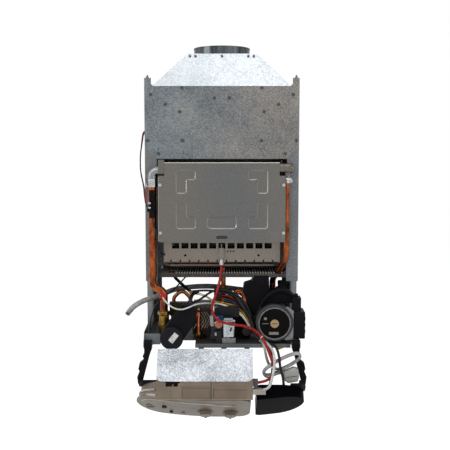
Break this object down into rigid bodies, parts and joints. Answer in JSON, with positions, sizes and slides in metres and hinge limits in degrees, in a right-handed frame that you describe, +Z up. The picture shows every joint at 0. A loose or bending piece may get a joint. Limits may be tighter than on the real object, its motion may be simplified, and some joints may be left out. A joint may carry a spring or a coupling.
{
  "type": "wall-hung gas boiler",
  "caption": "Wall-hung gas boiler without its casing: flue hood, burner chamber, pump and valves below, control panel swung down on two arms.",
  "frame": {"origin": "middle of the two wall-hanging holes, on the wall plane", "axes": "+X to the right as seen from the front, -Y out of the wall towards the user, +Z up"},
  "size_m": [0.4571, 0.371, 0.9465],
  "materials": {
    "painted_steel": "grey coated sheet steel",
    "galvanised": "hot-dip galvanised sheet, spangled",
    "bright_galvanised": "bright galvanised sheet",
    "dark_steel": "aluminised steel",
    "copper": "drawn copper tube",
    "brass": "turned brass",
    "cast_alloy": "die-cast aluminium",
    "stainless": "stainless sheet",
    "black_plastic": "moulded black",
    "gloss_black": "gloss black moulding",
    "grey_plastic": "grey-beige moulding",
    "light_plastic": "light grey moulding",
    "red_plastic": "red moulding",
    "ceramic_fibre": "fibre board",
    "ceramic": "glazed insulator",
    "glass": "heat-proof",
    "vessel_red": "red lacquer",
    "board_green": "circuit board",
    "silicone_red": "silicone lead",
    "cable_grey": "pvc cable",
    "sleeve_black": "pvc sleeve",
    "hose_clear": "clear pvc hose",
    "coil_blue": "moulded coil"
  },
  "bodies": {
    "chassis": {"side_panel_left": "painted_steel", "side_panel_right": "painted_steel", "hanging_rail": "galvanised", "back_panel": "galvanised", "expansion_vessel": "vessel_red", "bottom_plate": "galvanised", "diverter_plate": "galvanised", "flue_hood": "bright_galvanised", "flue_collar": "dark_steel", "chamber_cover": "stainless", "sight_glass": "glass", "sheet_screws": "stainless", "chamber_shell": "stainless", "chamber_insulation": "ceramic_fibre", "heat_exchanger": "copper", "burner_front": "stainless", "burner_blades": "stainless", "gas_manifold": "stainless", "air_tray": "galvanised", "ignition_electrode": "ceramic", "flow_elbow": "cast_alloy", "return_elbow": "cast_alloy", "union_nuts": "brass", "flow_pipe": "copper", "return_pipe": "copper", "gas_pipe": "copper", "water_pipes": "copper", "flow_group": "brass", "diverter_motor": "black_plastic", "plate_exchanger": "stainless", "return_group": "black_plastic", "pump_motor": "cast_alloy", "pump_terminal_box": "black_plastic", "gas_valve_body": "cast_alloy", "gas_valve_coils": "coil_blue", "connection_stubs": "brass", "overheat_thermostat": "black_plastic", "drain_hose": "hose_clear", "wiring_loom": "sleeve_black", "ignition_lead": "silicone_red", "panel_leads": "cable_grey"},
    "panel": {"panel_arms": "black_plastic", "panel_wing": "gloss_black", "control_box": "grey_plastic", "box_lid": "bright_galvanised", "panel_face": "grey_plastic", "circuit_board": "board_green", "pressure_gauge": "light_plastic", "mains_hank": "cable_grey", "mains_connector": "light_plastic"},
    "heating_knob_body": {"heating_knob": "light_plastic"},
    "water_knob_body": {"water_knob": "light_plastic"},
    "reset_button_body": {"reset_button": "black_plastic"},
    "mode_button_body": {"mode_button": "black_plastic"},
    "gauge_pointer_body": {"gauge_pointer": "black_plastic"},
    "pump_rotor_body": {"pump_rotor": "stainless"},
    "pump_vent_screw_body": {"pump_vent_screw": "brass"},
    "diverter_spindle_body": {"diverter_spindle": "stainless"},
    "air_vent_cap_body": {"air_vent_cap": "black_plastic"},
    "safety_valve_cap_body": {"safety_valve_cap": "red_plastic"}
  },
  "joints": [
    {"name": "panel_swing", "type": "hinge", "parent": "chassis", "child": "panel", "pos_m": [0, -0.3, -0.615], "axis": [-1, 0, 0], "range_deg": [0, 54], "deforming": ["ignition_lead", "panel_leads"]},
    {"name": "heating_knob_turn", "type": "hinge", "parent": "panel", "child": "heating_knob_body", "pos_m": [-0.041, -0.29859, -0.78999], "axis": [0, 0.5878, 0.809], "range_deg": [-135, 135]},
    {"name": "water_knob_turn", "type": "hinge", "parent": "panel", "child": "water_knob_body", "pos_m": [0.021, -0.29487, -0.79338], "axis": [0, 0.5878, 0.809], "range_deg": [-135, 135]},
    {"name": "reset_button_press", "type": "slide", "parent": "panel", "child": "reset_button_body", "axis": [0, 0.5878, 0.809], "range_m": [0, 0.002], "stiffness_N_per_m": 150},
    {"name": "mode_button_press", "type": "slide", "parent": "panel", "child": "mode_button_body", "axis": [0, 0.5878, 0.809], "range_m": [0, 0.002], "stiffness_N_per_m": 150},
    {"name": "gauge_pointer_turn", "type": "hinge", "parent": "panel", "child": "gauge_pointer_body", "pos_m": [-0.179, -0.2963, -0.77664], "axis": [0, 0.5878, 0.809], "range_deg": [-135, 135]},
    {"name": "pump_rotor_spin", "type": "hinge", "parent": "chassis", "child": "pump_rotor_body", "pos_m": [0.131, -0.22, -0.564], "axis": [0, 1, 0], "continuous": true},
    {"name": "pump_vent_screw_turn", "type": "hinge", "parent": "chassis", "child": "pump_vent_screw_body", "pos_m": [0.131, -0.3, -0.564], "axis": [0, -1, 0], "range_deg": [0, 360]},
    {"name": "diverter_spindle_push", "type": "slide", "parent": "chassis", "child": "diverter_spindle_body", "axis": [0, 1, 0], "range_m": [0, 0.006], "stiffness_N_per_m": 300},
    {"name": "air_vent_cap_turn", "type": "hinge", "parent": "chassis", "child": "air_vent_cap_body", "pos_m": [0.152, -0.2, -0.478], "axis": [0, 0, 1], "range_deg": [0, 360]},
    {"name": "safety_valve_cap_turn", "type": "hinge", "parent": "chassis", "child": "safety_valve_cap_body", "pos_m": [0.063, -0.24, -0.596], "axis": [0, -1, 0], "range_deg": [0, 90]}
  ]
}
